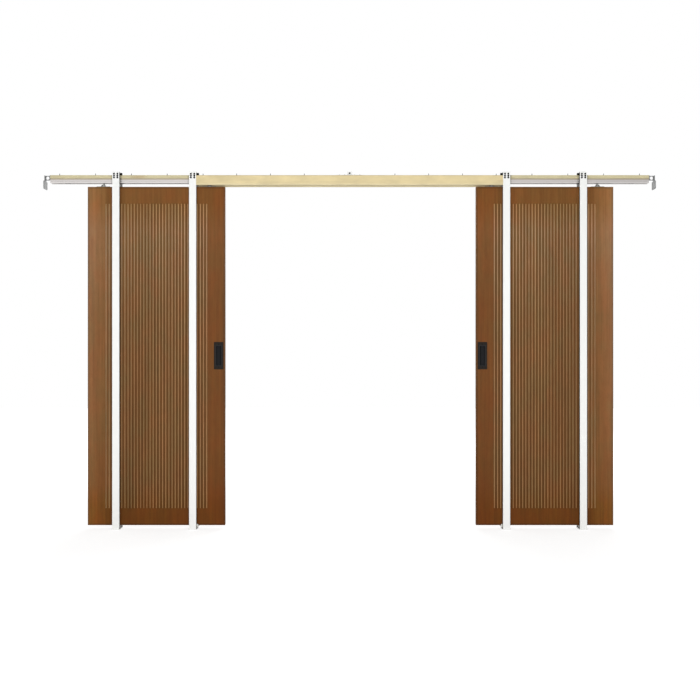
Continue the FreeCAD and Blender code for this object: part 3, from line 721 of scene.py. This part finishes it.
waferScrew = crossHead("waferScrew", waferLook)
flatScrew = crossHead("flatScrew", flatLook)
clampBolt = crossHead("clampBolt", clampLook)
screwTip = threadedTip("screwTip", tipLook)
screwTree = makeScrewTree()
threadTree = makeThreadTree()


def screws(name, shape, places, diameter, finish, body, seed):
    growPiece(name, places, screwTree, {
        "Screw": shape, "Head Diameter": diameter, "Turn Seed": seed, "Finish": finish}, body)


# six black screws at the head of each stud

studScrews = {"diameter": 0.0112, "columns": (-0.010, 0.010), "rows": (0.0137, 0.025, 0.0363),
              "steel": 0.0015, "endDiameter": 0.0055}
places = []
for post in posts:
    for side in sides:
        for face, way in faces.items():
            low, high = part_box(f"{post}_stud_{side}_{face}")
            middle = (low.x + high.x) / 2
            skin = low.y if way < 0 else high.y
            for column in studScrews["columns"]:
                for row in studScrews["rows"]:
                    places.append(((middle + column, skin, high.z - row), (0, way, 0)))
screws("stud_screws", waferScrew, places, studScrews["diameter"], screwBlack,
       "frame", seed=3)

# the points of the top row come out in the open pan of the saddle
topRow = studHigh.z - min(studScrews["rows"]) - studScrews["steel"]
ends = [((x, y - way * studScrews["steel"], z), (0, -way, 0))
        for (x, y, z), (_, way, _) in places if z > topRow]
screws("stud_screw_ends", screwTip, ends, studScrews["endDiameter"], screwBlack,
       "frame", seed=4)

# a black bolt on the doorway side of each front stud clamps it to the saddle

clampBolts = {"diameter": 0.0158, "aboveBoard": 0.0045}
level = boardHigh.z + clampBolts["aboveBoard"]
places = []
for post in posts:
    for side, way in zip(sides, (1, -1)):
        low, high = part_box(f"{post}_stud_{side}_front")
        skin = high.x if way > 0 else low.x
        places.append(((skin, (low.y + high.y) / 2, level), (way, 0, 0)))
screws("clamp_bolts", clampBolt, places, clampBolts["diameter"], screwBlack,
       "frame", seed=2)

# screws that hold the track up to the boards, with their points through the top

trackScrews = {
    "diameter": 0.0056, "headDiameter": 0.009, "ceiling": 0.0025,
    "outermost": 1.746, "pocketStep": 0.2158, "pocketCount": 5,
    "doorwayFirst": 0.680, "doorwayStep": 0.2035, "doorwayCount": 3,
}
reaches = [trackScrews["outermost"] - trackScrews["pocketStep"] * number
           for number in range(trackScrews["pocketCount"])]
reaches += [trackScrews["doorwayFirst"] - trackScrews["doorwayStep"] * number
            for number in range(trackScrews["doorwayCount"])]
along = [doorwayMiddle + way * reach for way in (-1, 1) for reach in reaches]
tips = [((x, 0, boardHigh.z), (0, 0, 1)) for x in along]
screws("track_screw_tips", screwTip, tips, trackScrews["diameter"], screwBlack,
       "frame", seed=5)
heads = [((x, 0, trackHigh.z - trackScrews["ceiling"]), (0, 0, -1)) for x in along]
screws("track_screw_heads", flatScrew, heads, trackScrews["headDiameter"], screwBlack,
       "frame", seed=6)

# screws of the joint plate, the saddles and the end brackets

plateScrews = {
    "diameter": 0.0104, "ends": (-0.062, -0.030, 0.030, 0.062), "row": 0.012,
    "tabLevel": 0.016, "steel": 0.002,
}
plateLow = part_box("header_joint_plate")[0]
plateTop = plateLow.z + plateScrews["steel"]
tabLevel = plateLow.z + plateScrews["tabLevel"]
tabFace = plateScrews["steel"] / 2
places = [((doorwayMiddle + x, way * plateScrews["row"], plateTop), (0, 0, 1))
          for x in plateScrews["ends"] for way in (-1, 1)]
places += [((doorwayMiddle, way * tabFace, tabLevel), (0, way, 0)) for way in (-1, 1)]
screws("joint_plate_screws", waferScrew, places, plateScrews["diameter"], screwBlack,
       "frame", seed=7)

saddleScrews = {"diameter": 0.008, "floor": 0.002, "row": 0.014}
places = []
for post in posts:
    for side in sides:
        low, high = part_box(f"{post}_saddle_{side}")
        middle = (low.x + high.x) / 2
        for way in (-1, 1):
            place = (middle, way * saddleScrews["row"], boardHigh.z + saddleScrews["floor"])
            places.append((place, (0, 0, 1)))
screws("saddle_screws", waferScrew, places, saddleScrews["diameter"], screwBlack,
       "frame", seed=9)

bracketScrews = {"diameter": 0.009, "steel": 0.003, "row": 0.014, "level": 0.0105}
places = []
for side, way in zip(sides, (-1, 1)):
    low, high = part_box(f"header_board_{side}")
    end = low.x if way < 0 else high.x
    skin = end + way * bracketScrews["steel"]
    level = high.z - bracketScrews["level"]
    for row in (-1, 1):
        places.append(((skin, row * bracketScrews["row"], level), (way, 0, 0)))
screws("bracket_screws", waferScrew, places, bracketScrews["diameter"], brightZinc,
       "frame", seed=11)

# what rides on each leaf: screws of the hangers and pulls, and the threads of the bolts

hangerScrews = {
    "diameter": 0.007, "along": 0.030, "across": 0.008, "plate": 0.003, "halfLength": 0.040,
}
boltThread = {
    "radius": 0.0040, "pitch": 0.00125, "turns": 9.0, "ridge": 0.00045, "start": 0.0165,
}
pullScrews = {"diameter": 0.006, "level": 0.0688}
for side in sides:
    body = f"{side}_leaf"
    low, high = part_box(f"hanger_plates_{side}")
    centres = (low.x + hangerScrews["halfLength"], high.x - hangerScrews["halfLength"])
    level = low.z + hangerScrews["plate"]
    places = [((x + end * hangerScrews["along"], way * hangerScrews["across"], level), (0, 0, 1))
              for x in centres for end in (-1, 1) for way in (-1, 1)]
    screws(f"hanger_screws_{side}", flatScrew, places, hangerScrews["diameter"], brightZinc,
           body, seed=13)
    places = [((x, 0, low.z + boltThread["start"]), (0, 0, 1)) for x in centres]
    growPiece(f"bolt_threads_{side}", places, threadTree, {
        "Radius": boltThread["radius"], "Pitch": boltThread["pitch"], "Turns": boltThread["turns"],
        "Ridge": boltThread["ridge"], "Finish": brightZinc}, body)
    places = []
    for face, way in faces.items():
        low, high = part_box(f"pull_{side}_{face}")
        skin = low.y if way < 0 else high.y
        for end in (-1, 1):
            level = (low.z + high.z) / 2 + end * pullScrews["level"]
            places.append((((low.x + high.x) / 2, skin, level), (0, way, 0)))
    screws(f"pull_screws_{side}", flatScrew, places, pullScrews["diameter"], screwBlack,
           body, seed=15)

for helper in (waferScrew, flatScrew, clampBolt, screwTip):
    bpy.data.objects.remove(helper)


# floor, light and camera

studio = {
    "floorSize": 24.0,
    # what the camera sees besides the lit floor: near the object, and where it meets the backdrop
    "floorGlow": (0.74, 1.0), "glowReach": (3.4, 2.4), "glowStart": 0.65,
    "floorShow": (188, 188, 188),
    "floorTone": (232, 232, 229),
    "ambient": 0.45,
    "keyPlace": (-2.6, -6.2, 2.2), "keySize": (5.0, 3.4), "keyPower": 71.0,
    "fillPlace": (0.4, -6.1, 0.5), "fillSize": (4.0, 1.0), "fillPower": 149.0,
    "rimPlace": (1.2, 6.0, 4.0), "rimSize": (7.0, 4.0), "rimPower": 240.0,
    "target": (0.0, 0.0, 1.1),
}


def seenDirectly(pen):
    # 1 for rays that show the background itself or its reflection
    camera, glossy, through = pen.node("ShaderNodeLightPath", out=(
        "Is Camera Ray", "Is Glossy Ray", "Is Transmission Ray"))
    return pen.maths("MAXIMUM", pen.maths("MAXIMUM", camera, glossy), through)


def makeFloor():
    half = studio["floorSize"] / 2
    mesh = bpy.data.meshes.new("floor")
    corners = [(-half, -half, 0), (half, -half, 0), (half, half, 0), (-half, half, 0)]
    mesh.from_pydata([(x + doorwayMiddle, y, z) for x, y, z in corners], [], [(0, 1, 2, 3)])
    floor = bpy.data.objects.new("floor", mesh)
    scene.collection.objects.link(floor)
    material, pen = newFinish("paleFloor")
    x, y, _ = apart(pen, objectPlace(pen))
    acrossReach, depthReach = studio["glowReach"]
    across, deep = (x - doorwayMiddle) / acrossReach, y / depthReach
    far = pen.maths("SQRT", across * across + deep * deep)
    level = spread(pen, far, studio["glowStart"], 1.0, *studio["floorGlow"])
    glow = pen.node("ShaderNodeEmission", {}, {"Color": level, "Strength": 1.0})
    shown = pen.node("ShaderNodeBsdfDiffuse", {}, {"Color": shade(*studio["floorShow"])})
    both = pen.node("ShaderNodeAddShader", {}, {0: glow, 1: shown})
    plain = pen.node("ShaderNodeBsdfDiffuse", {}, {"Color": shade(*studio["floorTone"])})
    mixed = pen.node("ShaderNodeMixShader", {}, {0: seenDirectly(pen), 1: plain, 2: both})
    pen.node("ShaderNodeOutputMaterial", {}, {"Surface": mixed})
    mesh.materials.append(material)


def makeWorld():
    world = bpy.data.worlds.new("whiteRoom")
    world.use_nodes = True
    world.node_tree.nodes.clear()
    pen = Wire(world.node_tree)
    soft = pen.node("ShaderNodeBackground", {}, {
        "Color": (1, 1, 1, 1), "Strength": studio["ambient"]})
    white = pen.node("ShaderNodeBackground", {}, {"Color": (1, 1, 1, 1), "Strength": 1.0})
    mixed = pen.node("ShaderNodeMixShader", {}, {0: seenDirectly(pen), 1: soft, 2: white})
    pen.node("ShaderNodeOutputWorld", {}, {"Surface": mixed})
    scene.world = world


def softBox(name, place, size, power):
    lamp = bpy.data.lights.new(name, "AREA")
    lamp.shape = "RECTANGLE"
    lamp.size, lamp.size_y = size
    lamp.energy = power
    box = bpy.data.objects.new(name, lamp)
    middle = Vector((doorwayMiddle, 0, 0))
    box.location = Vector(place) + middle
    aim = Vector(studio["target"]) + middle - box.location
    box.rotation_euler = aim.to_track_quat("-Z", "Y").to_euler()
    scene.collection.objects.link(box)


makeFloor()
makeWorld()
for lamp in ("key", "fill", "rim"):
    softBox(f"{lamp}Light", studio[f"{lamp}Place"], studio[f"{lamp}Size"], studio[f"{lamp}Power"])

shot = {"lens": 50.0, "sensor": 36.0, "aside": 0.0023, "back": 5.8565, "height": 1.074}
eye = bpy.data.cameras.new("camera")
eye.lens = shot["lens"]
eye.sensor_width = shot["sensor"]
camera = bpy.data.objects.new("camera", eye)
camera.location = (doorwayMiddle + shot["aside"], -shot["back"], shot["height"])
camera.rotation_euler = (math.pi / 2, 0, 0)
scene.collection.objects.link(camera)
scene.camera = camera
scene.view_settings.view_transform = "Standard"
print("studio ready")
